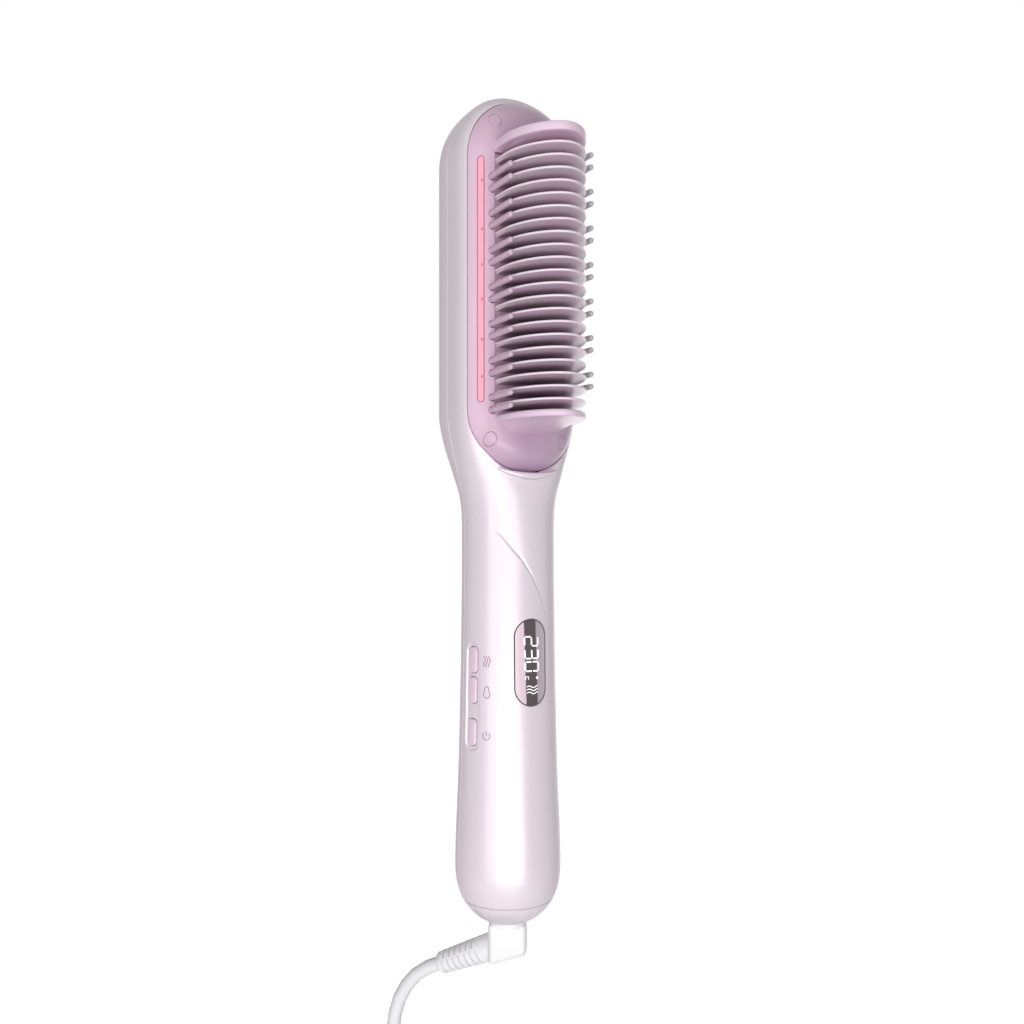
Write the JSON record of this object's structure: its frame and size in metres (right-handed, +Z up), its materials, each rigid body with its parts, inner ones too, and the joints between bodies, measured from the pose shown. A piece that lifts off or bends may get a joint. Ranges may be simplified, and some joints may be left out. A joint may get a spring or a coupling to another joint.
{
  "type": "steam straightening brush",
  "caption": "Corded hair straightening brush with a heated finned comb, guard pins, steam strip, side buttons, display window and a swivelling mains cord.",
  "frame": {"origin": "on the handle's axis at the grip, 60 mm above the body's bottom end", "axes": "+Z up the handle to the head, comb and display to -Y, buttons on the -X side"},
  "size_m": [0.0628, 0.0909, 0.5607],
  "materials": {
    "shell_plastic": "pearl gloss",
    "plate_plastic": "satin gloss",
    "comb_metal": "coated satin",
    "pin_plastic": "satin",
    "strip_plastic": "gloss",
    "steel": "satin",
    "window_plastic": "polished",
    "dark_plastic": "matte",
    "button_plastic": "satin gloss",
    "board": "matte",
    "inner_plastic": "matte",
    "tank_plastic": "clear gloss",
    "stopper_rubber": "matte",
    "tube_rubber": "matte",
    "chamber_metal": "cast",
    "ceramic": "fired white",
    "fuse_metal": "satin",
    "mains_lead": "satin",
    "heater_lead": "satin",
    "bush_brass": "satin",
    "white_plastic": "gloss",
    "cord_rubber": "satin",
    "tie_plastic": "matte",
    "pin_chrome": "polished"
  },
  "bodies": {
    "casing": {"front_shell": "shell_plastic", "rear_shell": "shell_plastic", "end_cap": "shell_plastic", "face_plate": "plate_plastic", "heater_comb": "comb_metal", "top_guard": "plate_plastic", "bottom_guard": "plate_plastic", "left_pins": "pin_plastic", "right_pins": "pin_plastic", "steam_strip": "strip_plastic", "screw_caps": "plate_plastic", "plate_screws": "steel", "display_window": "window_plastic", "display_module": "dark_plastic", "tact_switches": "dark_plastic", "button_board": "board", "main_board": "board", "chassis": "inner_plastic", "water_tank": "tank_plastic", "water_tubes": "tube_rubber", "pump": "dark_plastic", "steam_chamber": "chamber_metal", "steam_manifold": "inner_plastic", "ceramic_heater": "ceramic", "heater_clamp": "steel", "thermal_fuse": "fuse_metal", "mains_leads": "mains_lead", "heater_leads": "heater_lead", "swivel_bush": "bush_brass", "contact_block": "dark_plastic"},
    "steam_key": {"steam_button": "button_plastic"},
    "temperature_key": {"temperature_button": "button_plastic"},
    "power_key": {"power_button": "button_plastic"},
    "stopper": {"filler_stopper": "stopper_rubber"},
    "cord_swivel": {"swivel_block": "white_plastic", "swivel_clip": "steel", "strain_relief": "cord_rubber", "cord_upper": "cord_rubber", "cord_hank": "cord_rubber", "hank_tie": "tie_plastic", "cord_lower": "cord_rubber", "plug_body": "white_plastic", "plug_pins": "pin_chrome"}
  },
  "joints": [
    {"name": "steam_press", "type": "slide", "parent": "casing", "child": "steam_key", "axis": [0.9703, 0.2419, 0], "range_m": [0, 0.0007], "stiffness_N_per_m": 2000},
    {"name": "temperature_press", "type": "slide", "parent": "casing", "child": "temperature_key", "axis": [0.9703, 0.2419, 0], "range_m": [0, 0.0007], "stiffness_N_per_m": 2000},
    {"name": "power_press", "type": "slide", "parent": "casing", "child": "power_key", "axis": [0.9703, 0.2419, 0], "range_m": [0, 0.0007], "stiffness_N_per_m": 2000},
    {"name": "stopper_pull", "type": "slide", "parent": "casing", "child": "stopper", "axis": [0, 1, 0], "range_m": [0, 0.012]},
    {"name": "cord_turn", "type": "hinge", "parent": "casing", "child": "cord_swivel", "pos_m": [0, 0, -0.06], "axis": [0, 0, 1], "continuous": true}
  ]
}
